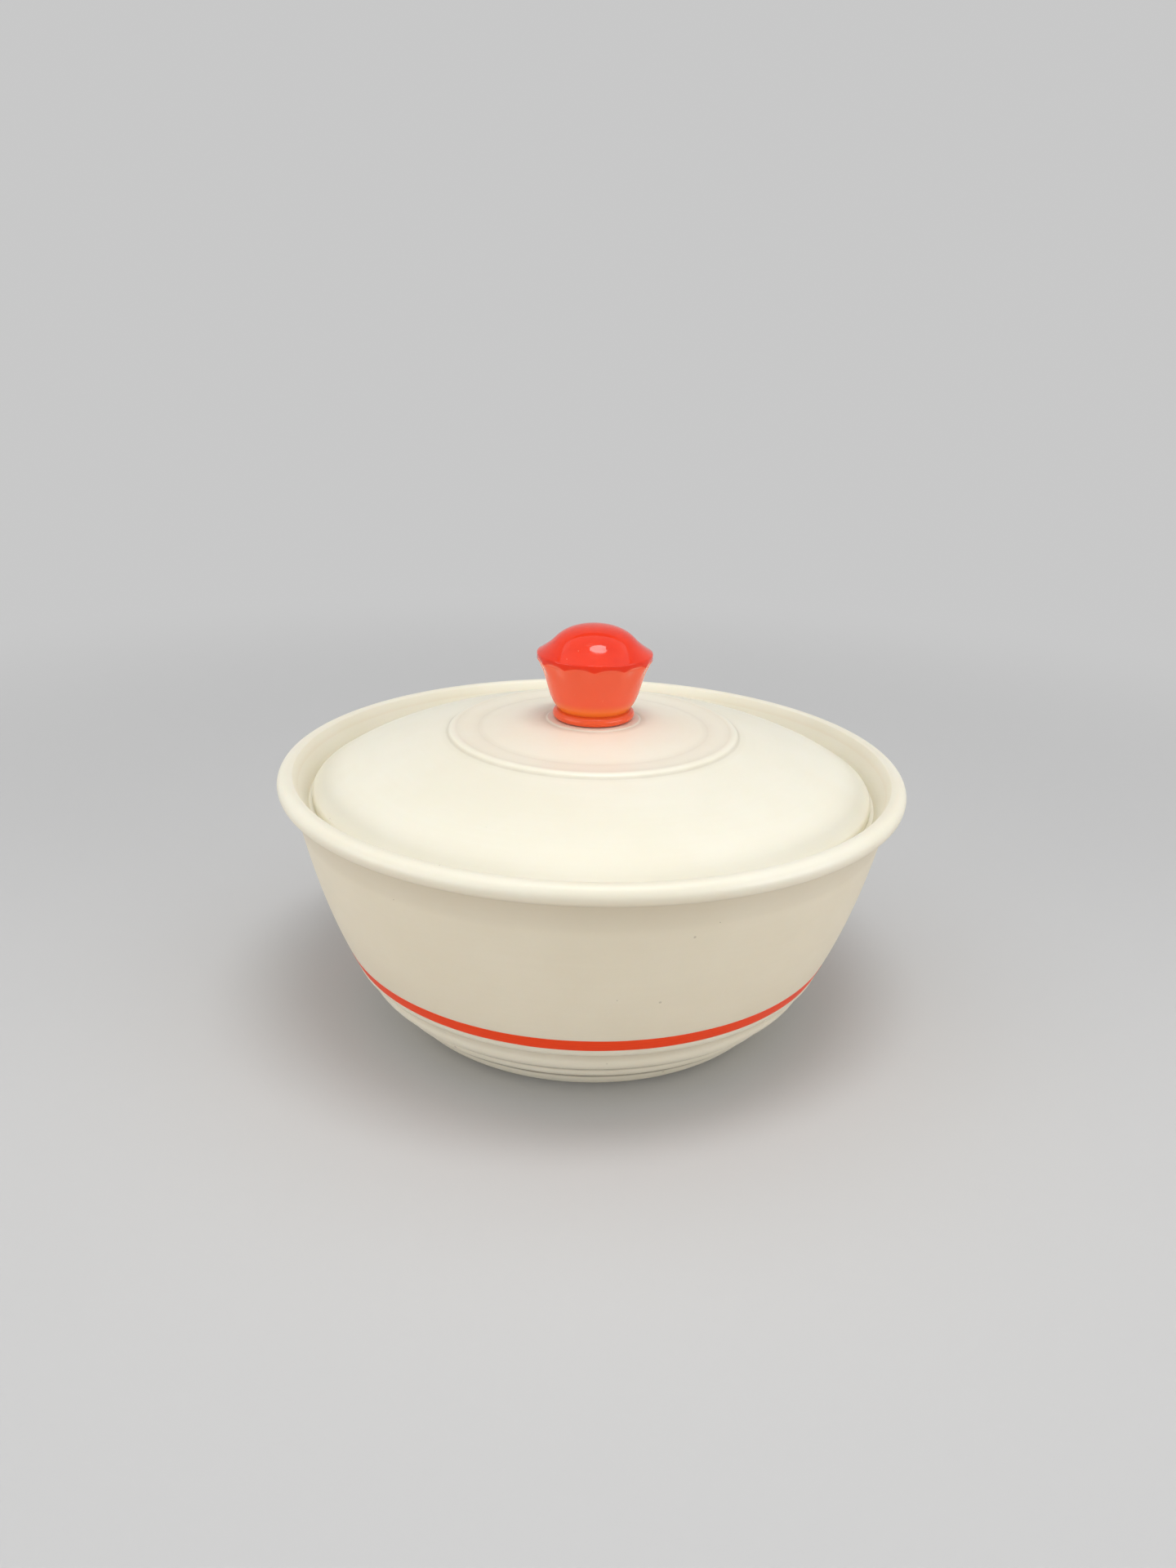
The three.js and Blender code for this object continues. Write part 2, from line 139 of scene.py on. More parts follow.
# Knob
KNOB_SEAT = knob_low[2]
KNOB_TOP = knob_high[2]
COLLAR_RADIUS = 9.95
COLLAR_BEAD = 1.15
COLLAR_END_ANGLE = 80
WAIST_RADIUS = 8.6
WAIST_HEIGHT = KNOB_SEAT + 2 * COLLAR_BEAD
LIP_RADIUS = knob_high[0]
LIP_RISE = 15.5
LIP_HEIGHT = KNOB_SEAT + LIP_RISE
LIP_FACE = 0.85
LIP_ROUND = 0.9
LIP_EDGE_ROUND = 0.35
LIP_EDGE_RISE = 0.5
LIP_UNDER_ANGLE = 30
LIP_OVER_ANGLE = 72
BELLY_WIDTH = 3.2
BELLY_HEIGHT = 3.6
FLARE_WIDTH = 3
FLARE_HEIGHT = 4.8
CROWN_SLOPE = 47
CROWN_DISH = 1.9
CROWN_RADIUS = 9.8
CROWN_FOOT_RISE = 3.85
SCALLOP_COUNT = 12
SCALLOP_DEPTH = 0.6
SCALLOP_TOP = 0.25
SCALLOP_RISE = 0.7
SCALLOP_LENGTH = 6
BORE_RADIUS = 2.15
BORE_DEPTH = 10.5

# Screw and washer
SCREW_RADIUS = 2
SHANK_TOLERANCE = 0.05
HEAD_RADIUS = screw_high[0]
HEAD_FACE = screw_low[2]
HEAD_HEIGHT = 2.3
HEAD_EDGE = 0.8
SLOT_WIDTH = 1
SLOT_DEPTH = 1.1
SLOT_INNER = 8 / 24  # share of a quarter turn's lines that lie in the slot, and the first line outside
SLOT_SHARE = 9 / 24
SLOT_MIDDLE = 1.05 * SLOT_WIDTH / 2  # nearer to the axis than this, the lines keep their angles
THREAD_PITCH = 0.7
THREAD_DEPTH = 0.3

# How fine the lines are, and how many points a section has round the axis
ARC_STEPS = 60
CURVE_STEPS = 80
DOME_STEPS = 200
WALL_STEPS = 2000
INNER_WALL_STEPS = 200
BAND_STEPS = 40
BOWL_AROUND = 240
BAND_AROUND = 360
LID_AROUND = 240
KNOB_AROUND = 288
SCREW_AROUND = 96

# Creases: the width of the bell that rounds each section's corners
BOWL_CREASE = 0.08
BAND_CREASE = 0.04
LID_CREASE = 0.14
KNOB_CREASE = 0.08
SCREW_CREASE = 0.08
WASHER_CREASE = 0.06

# Sections: spacing of the working points, then the longest step and the sharpest turn of the finished ones
GRAIN = 0.04
SPAN = 1.5
FINE_SPAN = 0.4
THREAD_SPAN = 0.15
TURN = 7.0
KNOB_TURN = 5.0
BELL_REACH = 4  # a bell ends at this many times its width
SAME_POINT = 1e-6  # points that are nearer than this are one
SPREAD_REACH = 0.3  # how far dirt and painted shade spread from a groove's bottom, and wear from an edge
# wider on the bowl, so that dirt and painted shade from its grooves reach the faces of the rolls that show
FOOT_DIRT_AND_SHADE_REACH = 0.8
SPREAD_GAIN = 1.6


# Lines of a section

def arc(centre, radius, start, end, steps=ARC_STEPS):
    """Circular arc: centre + radius (cos a, sin a), with a running evenly from start to end degrees."""
    angle = np.radians(np.linspace(start, end, steps + 1))
    return np.asarray(centre) + radius * np.column_stack([np.cos(angle), np.sin(angle)])


def polar(centre, radius, degrees):
    """The point at a distance and an angle from a centre."""
    return arc(centre, radius, degrees, degrees, 0)[0]


def bulged(a, b, bulge):
    """Arc from a to b whose middle stands off the chord by bulge, to the right of the way."""
    a = np.asarray(a, float)
    b = np.asarray(b, float)
    half = np.linalg.norm(b - a) / 2
    right = np.array([b[1] - a[1], a[0] - b[0]]) / (2 * half)
    radius = (half**2 + bulge**2) / (2 * bulge)
    centre = (a + b) / 2 + right * (bulge - radius)
    start = np.degrees(np.arctan2(*(a - centre)[::-1]))
    turn = np.degrees(4 * np.arctan(bulge / half))
    return arc(centre, abs(radius), start, start + turn)


def bezier(*controls, steps=CURVE_STEPS):
    """Bezier curve: repeated straight blends between neighbouring controls at each share of the way."""
    share = np.linspace(0, 1, steps + 1)[:, None]
    level = [np.asarray(control, float)[None] for control in controls]
    while len(level) > 1:
        level = [p + (q - p) * share for p, q in zip(level, level[1:])]
    return level[0]


def crossing(a, u, b, v):
    """Where the line through a along u meets the line through b along v."""
    a, u, b, v = (np.asarray(x, float) for x in (a, u, b, v))
    gap = b - a
    return a + u * (gap[0] * v[1] - gap[1] * v[0]) / (u[0] * v[1] - u[1] * v[0])


def chain(*parts):
    """Points and lines joined end to end, without doubled points."""
    line = np.vstack([np.atleast_2d(np.asarray(part, float)) for part in parts])
    steps = np.linalg.norm(np.diff(line, axis=0), axis=1)
    return line[np.concatenate([[True], steps > SAME_POINT])]


def lengths(line):
    """Distance along a line from its start to each of its points."""
    return np.concatenate([[0], np.cumsum(np.linalg.norm(np.diff(line, axis=0), axis=1))])


def headings(line):
    """Direction of a line at each of its points, as a vector of length 1."""
    way = np.gradient(line, axis=0)
    return way / np.linalg.norm(way, axis=1)[:, None]


def blurred(values, width, loop, sign=1):
    """Running mean under a Gaussian bell of the given width. Past both ends the values go on round the loop,
    or are mirrored with the given sign."""
    sigma = width / GRAIN
    reach = int(np.ceil(BELL_REACH * sigma))
    if loop:
        values = np.concatenate([values[-reach:], values, values[:reach]])
    else:
        values = np.concatenate([sign * values[reach:0:-1], values, sign * values[-2 : -reach - 2 : -1]])
    bell = np.exp(-0.5 * (np.arange(-reach, reach + 1) / sigma) ** 2)
    return np.convolve(values, bell / bell.sum(), mode="valid")


def section(line, crease, loop=False, span=SPAN, turn=TURN, spread_reach=SPREAD_REACH):
    """A finished section: corners rounded by a bell as wide as the crease, and points no further apart than
    span and no sharper than turn degrees. hollow and edge are 1 - exp(-gain x bend per millimetre) at each
    point, for inward and outward bends spread over the given reach. An open section starts and ends on the
    axis."""
    along = lengths(line)
    places = np.linspace(0, along[-1], int(along[-1] / GRAIN) + 1)
    if loop:
        places = places[:-1]
    radius = blurred(np.interp(places, along, line[:, 0]), crease, loop, -1)
    height = blurred(np.interp(places, along, line[:, 1]), crease, loop)
    if not loop:
        radius[[0, -1]] = 0
    heading = np.arctan2(np.roll(height, -1) - height, np.roll(radius, -1) - radius)
    bend = (heading - np.roll(heading, 1) + np.pi) % (2 * np.pi) - np.pi
    if not loop:
        bend[[0, -2, -1]] = 0
    hollow = blurred(np.maximum(-bend, 0) / GRAIN, spread_reach, loop)
    edge = blurred(np.maximum(bend, 0) / GRAIN, spread_reach, loop)
    weight = np.cumsum(GRAIN / span + np.abs(np.degrees(bend)) / turn)
    picks = np.linspace(weight[0], weight[-1], int(np.ceil(weight[-1])) + 1)
    if loop:
        picks = picks[:-1]

    def pick(values):
        return np.interp(picks, weight, values)

    return {
        "radius": pick(radius),
        "height": pick(height),
        "along": pick(np.arange(len(radius)) * GRAIN),
        "hollow": 1 - np.exp(-SPREAD_GAIN * pick(hollow)),
        "edge": 1 - np.exp(-SPREAD_GAIN * pick(edge)),
        "loop": loop,
    }


# Meshes

def put_in_mesh(name, points, quads, triangles, values):
    """A smooth mesh from point and face arrays in millimetres, with one named number for each point."""
    mesh = bpy.data.meshes.new(name)
    mesh.vertices.add(len(points))
    mesh.vertices.foreach_set("co", (points * MM).astype(np.float32).ravel())
    corners = np.concatenate([quads.ravel(), triangles.ravel()])
    sizes = np.concatenate([np.full(len(quads), 4), np.full(len(triangles), 3)])
    mesh.loops.add(len(corners))
    mesh.loops.foreach_set("vertex_index", corners.astype(np.int32))
    mesh.polygons.add(len(sizes))
    mesh.polygons.foreach_set("loop_start", (np.cumsum(sizes) - sizes).astype(np.int32))
    mesh.update(calc_edges=True)
    mesh.shade_smooth()
    for key, numbers in values.items():
        attribute = mesh.attributes.new(key, "FLOAT", "POINT")
        attribute.data.foreach_set("value", numbers.astype(np.float32))
    piece = bpy.data.objects.new(name, mesh)
    bpy.context.scene.collection.objects.link(piece)
    return piece


def turned(name, part, around, reshape=None):
    """Carries a section round the axis: (r, z) at the angle a stands at (r sin a, -r cos a, z), so angle 0
    faces the viewer. A looped section closes on itself, any other ends in two poles on the axis.
    reshape takes the grids of r, z and a, and gives new ones."""
    rows = len(part["radius"])
    angle = np.arange(around) * 2 * np.pi / around
    r = np.repeat(part["radius"][:, None], around, 1)
    z = np.repeat(part["height"][:, None], around, 1)
    a = np.repeat(angle[None], rows, 0)
    if reshape:
        r, z, a = reshape(r, z, a)
    grid = np.stack([r * np.sin(a), -r * np.cos(a), z], -1)
    index = np.arange(rows * around).reshape(rows, around)
    values = {key: np.repeat(part[key], around) for key in ("along", "hollow", "edge")}
    beside = np.roll(index, -1, axis=1)
    if part["loop"]:
        above = np.roll(index, -1, axis=0)
        quads = np.stack([index, beside, np.roll(beside, -1, axis=0), above], -1).reshape(-1, 4)
        return put_in_mesh(name, grid.reshape(-1, 3), quads, np.empty((0, 3), int), values)
    quads = np.stack([index[1:-2], beside[1:-2], beside[2:-1], index[2:-1]], -1).reshape(-1, 4)
    first = np.stack([np.full(around, index[0, 0]), beside[1], index[1]], -1)
    last = np.stack([np.full(around, index[-1, 0]), index[-2], beside[-2]], -1)
    keep = np.ones(rows * around, bool)
    keep[index[0, 1:]] = False
    keep[index[-1, 1:]] = False
    renumber = np.cumsum(keep) - 1
    kept = {key: numbers[keep] for key, numbers in values.items()}
    faces = np.vstack([first, last])
    return put_in_mesh(name, grid.reshape(-1, 3)[keep], renumber[quads], renumber[faces], kept)


# Bowl

band_top = BAND_HEIGHT + BAND_WIDTH
ledge_height = BOWL_HEIGHT - SEAT_DEPTH
seat_radius = RIM_RADIUS - SEAT_INSET
ledge_radius = seat_radius - LEDGE_WIDTH
rim_centre = np.array([RIM_RADIUS - RIM_BEAD, BOWL_HEIGHT - RIM_BEAD])
wall_top = polar(rim_centre, RIM_BEAD, -RIM_UNDER_ANGLE)
wall_foot = np.array([FOOT_RADIUS + FOOT_TURN_WIDTH, FOOT_TURN_HEIGHT])
wall_line = bezier(
    wall_foot,
    polar(wall_foot, WALL_FLARE_REACH, WALL_FLARE_ANGLE),
    polar(wall_top, WALL_TOP_REACH, WALL_TOP_ANGLE + 180),
    wall_top,
    steps=WALL_STEPS,
)
wall_heading = headings(wall_line)


def on_wall(height, depth=0.0):
    """The point of the wall's line at a height, sunk into the wall by a depth."""
    level = wall_line[:, 1]
    place = np.array([np.interp(height, level, wall_line[:, 0]), height])
    heading = np.array([np.interp(height, level, wall_heading[:, k]) for k in (0, 1)])
    return place + depth * np.array([-heading[1], heading[0]])


def inner_wall(heights):
    """Inside of the wall at given heights: straight under the ledge, then parallel to the outside."""
    level = wall_line[:, 1]
    across = WALL_THICKNESS / np.interp(heights, level, wall_heading[:, 1])
    parallel = np.interp(heights, level, wall_line[:, 0]) - across
    straight = ledge_radius - LEDGE_DRAFT * (ledge_height - heights)
    return np.column_stack([np.minimum(parallel, straight), heights])


def ridged_foot():
    """Flat foot ring, then rolls between grooves up to the lower edge of the stripe, as a chain of arcs."""
    low_groove = on_wall(LOW_GROOVE_HEIGHT, LOW_GROOVE_DEPTH)
    mid_groove = on_wall(MID_GROOVE_HEIGHT, MID_GROOVE_DEPTH)
    hollow_start = on_wall(TOP_GROOVE_HEIGHT - TOP_GROOVE_HALF_WIDTH, TOP_GROOVE_DEPTH / 2)
    hollow_end = on_wall(TOP_GROOVE_HEIGHT + TOP_GROOVE_HALF_WIDTH, TOP_GROOVE_DEPTH / 2)
    ring_inside = FOOT_RADIUS - FOOT_RING_WIDTH
    return chain(
        (0, FOOT_HOLLOW),
        (ring_inside - FOOT_HOLLOW_SLOPE, FOOT_HOLLOW),
        (ring_inside, 0),
        bulged((FOOT_RADIUS, 0), low_groove, FOOT_ROLL_BULGE),
        bulged(low_groove, mid_groove, LOW_ROLL_BULGE),
        bulged(mid_groove, hollow_start, MID_ROLL_BULGE),
        bulged(hollow_start, hollow_end, -TOP_GROOVE_DEPTH / 2),
        bulged(hollow_end, on_wall(BAND_HEIGHT), TOP_ROLL_BULGE),
    )


def bowl_inside():
    """From the ledge down the inner wall, round the corner and in to the middle of the floor."""
    floor = FOOT_HOLLOW + FLOOR_THICKNESS
    wall = inner_wall(np.linspace(ledge_height, floor + FLOOR_FILLET, INNER_WALL_STEPS))
    corner = crossing(wall[-1], wall[-1] - wall[-2], (0, floor), (1, 0))
    floor_edge = (corner[0] - np.linalg.norm(corner - wall[-1]), floor)
    return chain(wall, bezier(wall[-1], corner, floor_edge), (0, floor))


def bowl():
    """Foot, stripe's groove, wall, rolled rim, recess, ledge and inside, as one section turned."""
    line = chain(
        ridged_foot(),
        on_wall(BAND_HEIGHT + BAND_OVERLAP),
        on_wall(BAND_HEIGHT + BAND_OVERLAP, BAND_DEPTH),
        on_wall(band_top - BAND_OVERLAP, BAND_DEPTH),
        wall_line[wall_line[:, 1] > band_top - BAND_OVERLAP],
        arc(rim_centre, RIM_BEAD, -RIM_UNDER_ANGLE, RIM_OVER_ANGLE, 2 * ARC_STEPS),
        (seat_radius, ledge_height),
        bowl_inside(),
    )
    return turned("bowl_surface", section(line, BOWL_CREASE, spread_reach=FOOT_DIRT_AND_SHADE_REACH), BOWL_AROUND)


def waves(a, terms):
    """Sum of height x sin(count a + start) over the terms."""
    return sum(height * np.sin(count * a + start) for height, count, start in terms)


def wander(r, z, a):
    """Moves the stripe's edges along the wall by slow waves round the bowl, and its middle not at all."""
    across = (z - BAND_HEIGHT) / (BAND_WIDTH / 2) - 1
    edge = np.where(across > 0, waves(a, UPPER_WAVES), waves(a, LOWER_WAVES))
    move = BAND_WANDER * edge * np.abs(across)
    slope = np.interp(z, wall_line[:, 1], wall_heading[:, 0] / wall_heading[:, 1])
    return r + move * slope, z + move, a


def red_band():
    """The stripe: a thin strip whose outer face follows the wall, with rounded edges that wander."""
    back_start = on_wall(BAND_HEIGHT + 2 * BAND_OVERLAP, BAND_DEPTH / 2)
    back_end = on_wall(band_top - 2 * BAND_OVERLAP, BAND_DEPTH / 2)
    line = chain(
        back_start,
        on_wall(BAND_HEIGHT, BAND_PROUD),
        [on_wall(height, -BAND_PROUD) for height in np.linspace(BAND_HEIGHT, band_top, BAND_STEPS)],
        on_wall(band_top, BAND_PROUD),
        back_end,
        back_start,
    )
    return turned("stripe", section(line, BAND_CREASE, loop=True, span=FINE_SPAN), BAND_AROUND, wander)


# Lid

def lid():
    """Rounded edge, dome, raised ring, dished plateau and pad above; hollow dome and boss below."""
    widest = LID_FOOT + LID_FOOT_ROUND + LID_LAND
    edge_centre = (LID_RADIUS - LID_EDGE_ROUND, widest)
    foot_centre = (LID_RADIUS - LID_FOOT_ROUND, LID_FOOT + LID_FOOT_ROUND)
    dome_start = polar(edge_centre, LID_EDGE_ROUND, 90 - LID_EDGE_SLOPE)
    ring_foot = np.array([RING_RADIUS, widest + DOME_RISE])
    bead_end = ring_foot + (-RING_BEAD_WIDTH, RING_BEAD_RISE)
    ring_inside = np.array([RING_RADIUS - RING_WIDTH, bead_end[1] - RING_FALL])
    edge_way = polar((0, 0), 1, 180 - LID_EDGE_SLOPE)
    ring_way = polar((0, 0), 1, -DOME_RING_SLOPE)
    dome_control = crossing(dome_start, edge_way, ring_foot, ring_way)
    dome = bezier(dome_start, dome_control, ring_foot, steps=DOME_STEPS)
    heading = headings(dome)
    under = dome + LID_THICKNESS * np.column_stack([-heading[:, 1], heading[:, 0]])
    seat_inside = np.array([LID_RADIUS - LID_SEAT_WIDTH, LID_FOOT])
    under = under[(under[:, 0] < seat_inside[0]) & (under[:, 1] > LID_FOOT)][::-1]
    pad_foot = PAD_TOP - PAD_RISE
    boss_face = PAD_TOP - BOSS_THICKNESS
    line = chain(
        seat_inside,
        arc(foot_centre, LID_FOOT_ROUND, -90, 0),
        arc(edge_centre, LID_EDGE_ROUND, 0, 90 - LID_EDGE_SLOPE),
        dome,
        bulged(ring_foot, bead_end, RING_BEAD_BULGE),
        ring_inside,
        (PAD_RADIUS + PAD_BEVEL, pad_foot),
        (PAD_RADIUS, PAD_TOP),
        (LID_HOLE_RADIUS, PAD_TOP),
        (LID_HOLE_RADIUS, boss_face),
        (BOSS_RADIUS, boss_face),
        (BOSS_RADIUS + BOSS_DRAFT, pad_foot - LID_THICKNESS),
        under,
        seat_inside,
    )
    return turned("lid_surface", section(line, LID_CREASE, loop=True), LID_AROUND)


# Knob

def smooth_step(share):
    """0 below 0, 1 above 1 and 3 s^2 - 2 s^3 between."""
    share = np.clip(share, 0, 1)
    return share**2 * (3 - 2 * share)


def scallop(r, z, a):
    """Draws the body in between its ridges by depth x (1 - cos(count a)) / 2: from just under the lip's
    edge, over a short rise, and dying away down the body."""
    below = LIP_HEIGHT - SCALLOP_TOP - z
    strength = smooth_step(below / SCALLOP_RISE) * (1 - smooth_step(below / SCALLOP_LENGTH))
    wave = np.where(r > WAIST_RADIUS, strength, 0) * (1 - np.cos(SCALLOP_COUNT * a)) / 2
    return r - SCALLOP_DEPTH * wave, z, a


def knob():
    """Collar bead, flared body, lip with an upright face, dish and crown, turned and then scalloped."""
    collar_centre = (COLLAR_RADIUS - COLLAR_BEAD, KNOB_SEAT + COLLAR_BEAD)
    lip_centre = (LIP_RADIUS - LIP_EDGE_ROUND, LIP_HEIGHT + LIP_EDGE_RISE)
    lip_under_centre = (LIP_RADIUS - LIP_ROUND, LIP_HEIGHT - LIP_FACE)
    waist = np.array([WAIST_RADIUS, WAIST_HEIGHT])
    belly = waist + (BELLY_WIDTH, BELLY_HEIGHT)
    lip_under = polar(lip_under_centre, LIP_ROUND, -LIP_UNDER_ANGLE)
    flare = lip_under - (FLARE_WIDTH, FLARE_HEIGHT)
    lip_over = polar(lip_centre, LIP_EDGE_ROUND, LIP_OVER_ANGLE)
    crown_foot = np.array([CROWN_RADIUS, LIP_HEIGHT + CROWN_FOOT_RISE])
    crown_top = np.array([0, KNOB_TOP])
    dish = polar(crown_foot, CROWN_DISH, -CROWN_SLOPE)
    crown_control = crossing(dish, crown_foot - dish, crown_top, (1, 0))
    bore_top = KNOB_SEAT + BORE_DEPTH
    line = chain(
        (0, bore_top),
        (BORE_RADIUS, bore_top),
        (BORE_RADIUS, KNOB_SEAT),
        arc(collar_centre, COLLAR_BEAD, -90, COLLAR_END_ANGLE),
        bezier(waist, belly, flare, lip_under),
        arc(lip_under_centre, LIP_ROUND, -LIP_UNDER_ANGLE, 0),
        arc(lip_centre, LIP_EDGE_ROUND, 0, LIP_OVER_ANGLE),
        bezier(lip_over, dish, crown_foot),
        bezier(crown_foot, crown_control, crown_top),
    )
    part = section(line, KNOB_CREASE, span=FINE_SPAN, turn=KNOB_TURN)
    return turned("knob_surface", part, KNOB_AROUND, scallop)


# Screw and washer under the lid

def washer():
    """Flat ring with soft corners, as a rectangle turned."""
    line = chain(
        (LID_HOLE_RADIUS, washer_low[2]),
        (washer_high[0], washer_low[2]),
        (washer_high[0], washer_high[2]),
        (LID_HOLE_RADIUS, washer_high[2]),
        (LID_HOLE_RADIUS, washer_low[2]),
    )
    return turned("washer_surface", section(line, WASHER_CREASE, loop=True, span=FINE_SPAN), SCREW_AROUND)


def slot_and_thread(r, z, a):
    """Slot: the angle lines draw together along its edges, y = +-width / 2, and between these the face lies
    on its floor. Thread: radius less depth x (1 + cos(2 pi z / pitch - a)) / 2 along the shank."""
    half = SLOT_WIDTH / 2
    off_slot = a % np.pi - np.pi / 2
    share = np.abs(off_slot) / (np.pi / 2)
    edge = np.arcsin(np.clip(half / np.maximum(r, half), 0, 1))
    outer = np.clip((share - SLOT_SHARE) / (1 - SLOT_SHARE), 0, 1)
    drawn = np.where(share < SLOT_SHARE, edge * share / SLOT_INNER, edge + (np.pi / 2 - edge) * outer)
    drawn = np.where(r > SLOT_MIDDLE, drawn, np.abs(off_slot))
    in_slot = ((share < SLOT_SHARE) | (r <= SLOT_MIDDLE)) & (z < HEAD_FACE + SLOT_DEPTH)
    on_shank = (np.abs(r - SCREW_RADIUS) < SHANK_TOLERANCE) & (z > KNOB_SEAT)
    wave = (1 + np.cos(2 * np.pi * z / THREAD_PITCH - a)) / 2
    turn = np.sign(off_slot) * (drawn - np.abs(off_slot))
    return r - THREAD_DEPTH * wave * on_shank, np.where(in_slot, HEAD_FACE + SLOT_DEPTH, z), a + turn


def screw():
    """Domed head with a slot, plain neck and threaded shank, as one section turned and then reshaped."""
    head_top = HEAD_FACE + HEAD_HEIGHT
    tip = screw_high[2]
    line = chain(
        bezier((0, HEAD_FACE), (HEAD_RADIUS, HEAD_FACE), (HEAD_RADIUS, head_top - HEAD_EDGE)),
        (HEAD_RADIUS, head_top),
        (SCREW_RADIUS, head_top),
        (SCREW_RADIUS, tip),
        (0, tip),
    )
    part = section(line, SCREW_CREASE, span=THREAD_SPAN)
    return turned("screw_surface", part, SCREW_AROUND, slot_and_thread)


# Finishes

class Term:
    """A shader socket in Python sums: each operation adds one Math node and gives its result."""

    def __init__(self, finish, socket):
        self.finish = finish
        self.socket = socket

    def other(self, name):
        """Another output of the same node."""
        return Term(self.finish, self.socket.node.outputs[name])

    def math(self, operation, *terms):
        """The result of a Math node on the terms."""
        return self.finish.node("ShaderNodeMath", {"operation": operation}, dict(enumerate(terms)))

    def __abs__(self):
        return self.math("ABSOLUTE", self)

    def __add__(self, term):
        return self.math("ADD", self, term)

    def __sub__(self, term):
        return self.math("SUBTRACT", self, term)

    def __rsub__(self, term):
        return self.math("SUBTRACT", term, self)

    def __mul__(self, term):
        return self.math("MULTIPLY", self, term)

    __radd__ = __add__
    __rmul__ = __mul__


def colour(value):
    """A colour with its alpha, or the socket that it is."""
    return value if isinstance(value, Term) else (*value, 1.0)


SPECK_CORE = 0.6  # share of a speck's size that is full
HAIRLINE_EDGE = (0.008, 0.001)  # distance from the noise's middle where a hairline starts and is full
HAIRLINE_PATCHES = 55
HAIRLINE_FADE = 0.1


class Finish:
    """A material and its nodes, with places in metres and heights, radii and sizes in millimetres."""

    def __init__(self, name):
        self.material = bpy.data.materials.new(name)
        self.material.use_nodes = True
        self.tree = self.material.node_tree
        self.tree.nodes.clear()

    def node(self, kind, settings=None, feeds=None, out=0):
        """Adds any node: its settings first, then the values or links of its sockets."""
        made = self.tree.nodes.new(kind)
        for key, value in (settings or {}).items():
            setattr(made, key, value)
        for key, value in (feeds or {}).items():
            if isinstance(value, Term):
                self.tree.links.new(value.socket, made.inputs[key])
            else:
                made.inputs[key].default_value = value
        return Term(self, made.outputs[out]) if len(made.outputs) else None

    def vector(self, operation, feeds, out=0):
        """The result of a Vector Math node."""
        return self.node("ShaderNodeVectorMath", {"operation": operation}, feeds, out)

    def place(self):
        """Object coordinates, in metres."""
        return self.node("ShaderNodeTexCoord", out="Object")

    def flat_place(self):
        """Object coordinates without their height."""
        return self.vector("MULTIPLY", {0: self.place(), 1: (1, 1, 0)})

    def height(self):
        """Height with the piece at rest, in millimetres."""
        return self.node("ShaderNodeSeparateXYZ", None, {0: self.place()}, out="Z") * (1 / MM)

    def radius(self):
        """Distance from the axis, in millimetres."""
        return self.vector("LENGTH", {0: self.flat_place()}, out="Value") * (1 / MM)

    def mark(self, name):
        """A number that the mesh holds for each point."""
        return self.node("ShaderNodeAttribute", {"attribute_name": name}, out="Fac")

    def noise(self, vector, scale, detail=2.0, roughness=0.5):
        """Cloudy noise about 0.5."""
        feeds = {"Vector": vector, "Scale": scale, "Detail": detail, "Roughness": roughness}
        return self.node("ShaderNodeTexNoise", None, feeds)

    def ramp(self, value, low, high):
        """0 below low, 1 above high and a smooth step between; falls instead if low is above high."""
        feeds = {"Value": value, "From Min": low, "From Max": high}
        return self.node("ShaderNodeMapRange", {"interpolation_type": "SMOOTHSTEP"}, feeds)

    def between(self, value, low, full, last, high):
        """0 below low, 1 from full to last, 0 above high and smooth steps between."""
        return self.ramp(value, low, full) * self.ramp(value, high, last)

    def mix(self, factor, a, b):
        """Colour a where factor is 0, colour b where it is 1."""
        feeds = {0: factor, 6: colour(a), 7: colour(b)}
        return self.node("ShaderNodeMix", {"data_type": "RGBA"}, feeds, out=2)

    def round_place(self, turns, lines):
        """(turns cos a, turns sin a, lines x distance along the section), in which noise runs round."""
        unit = self.vector("NORMALIZE", {0: self.flat_place()})
        ring = self.vector("SCALE", {0: unit, "Scale": turns})
        level = self.node("ShaderNodeCombineXYZ", None, {"Z": self.mark("along") * lines})
        return self.vector("ADD", {0: ring, 1: level})

    def specks(self, scale, size):
        """1 inside dots of about the given size, scattered in cells of 1 / scale metres, and 0 outside."""
        cell = self.node("ShaderNodeTexVoronoi", None, {"Vector": self.place(), "Scale": scale})
        reach = size * MM * scale
        return self.ramp(cell, reach, SPECK_CORE * reach)

    def hairlines(self, rotation, stretch, scale, share):
        """Thin broken lines: where turned and stretched noise passes its middle, kept in patches."""
        feeds = {"Vector": self.place(), "Rotation": rotation, "Scale": stretch}
        line = self.noise(self.node("ShaderNodeMapping", None, feeds), scale, detail=1.0) - 0.5
        thin = self.ramp(abs(line), *HAIRLINE_EDGE)
        patches = self.noise(self.place(), HAIRLINE_PATCHES, detail=1.0)
        return thin * self.ramp(patches, 1 - share, 1 - share + HAIRLINE_FADE)

    def surface(self, constants, feeds, relief):
        """The shader: constants on its own sockets, feeds over the surface, relief in millimetres."""
        bump = self.node("ShaderNodeBump", None, {"Strength": 1.0, "Distance": MM, "Height": relief})
        shader = self.node("ShaderNodeBsdfPrincipled", None, {**constants, **feeds, "Normal": bump})
        self.node("ShaderNodeOutputMaterial", None, {"Surface": shader})
        return self.material


BOWL_TONES = ((0.84, 0.755, 0.59), (0.80, 0.71, 0.54))
# lit creams: painted light, for the rim, the recess, the foot and the whole lid
LIT_TONES = ((0.895, 0.86, 0.73), (0.86, 0.815, 0.665))
IVORY_RUBBED = (0.88, 0.82, 0.68)
GRIME_AND_SHADE = (0.30, 0.225, 0.14)
CAKED_GRIME = (0.15, 0.115, 0.075)
IVORY_SPECK = (0.16, 0.10, 0.055)

